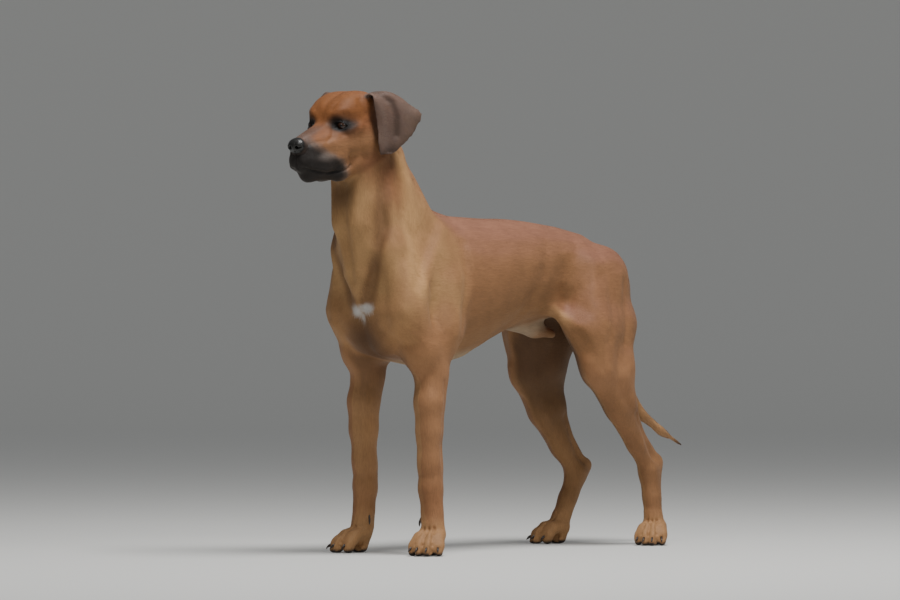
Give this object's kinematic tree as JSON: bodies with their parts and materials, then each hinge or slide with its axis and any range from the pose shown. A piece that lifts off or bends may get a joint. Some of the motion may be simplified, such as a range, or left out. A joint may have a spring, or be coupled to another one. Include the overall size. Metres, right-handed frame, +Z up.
{
  "type": "dog",
  "caption": "Life-size still model of a lean, short-coated hound with hanging ears, a dark muzzle and a long tail, standing alert with its head turned slightly to its left.",
  "frame": {"origin": "on the floor, at the middle of the footprint of the whole animal's outline", "axes": "+X to the dog's left, +Y towards its tail, so that it faces -Y, and +Z up from the soles"},
  "size_m": [0.2976, 1.1556, 0.9127],
  "materials": {
    "coat": "short, flat red wheaten hair with a soft sheen",
    "ear_coat": "very short dark brown hair",
    "nose_skin": "moist pebbled black skin",
    "eye": "wet clear cornea over a dark brown iris",
    "claw_horn": "smooth dark horn"
  },
  "bodies": {
    "root": {"chest": "coat", "claw_fore_left_1": "claw_horn", "claw_fore_left_2": "claw_horn", "claw_fore_left_3": "claw_horn", "claw_fore_left_4": "claw_horn", "claw_fore_right_1": "claw_horn", "claw_fore_right_2": "claw_horn", "claw_fore_right_3": "claw_horn", "claw_fore_right_4": "claw_horn", "claw_hind_left_1": "claw_horn", "claw_hind_left_2": "claw_horn", "claw_hind_left_3": "claw_horn", "claw_hind_left_4": "claw_horn", "claw_hind_right_1": "claw_horn", "claw_hind_right_2": "claw_horn", "claw_hind_right_3": "claw_horn", "claw_hind_right_4": "claw_horn", "dewclaw_left": "claw_horn", "dewclaw_right": "claw_horn", "ear_left": "ear_coat", "ear_right": "ear_coat", "eye_left": "eye", "eye_right": "eye", "foreleg_left": "coat", "foreleg_right": "coat", "front_paw_left": "coat", "front_paw_right": "coat", "head": "coat", "hind_paw_left": "coat", "hind_paw_right": "coat", "loin": "coat", "lower_jaw": "coat", "neck": "coat", "nose": "nose_skin", "shank_left": "coat", "shank_right": "coat", "tail": "coat", "thigh_left": "coat", "thigh_right": "coat"}
  },
  "joints": []
}
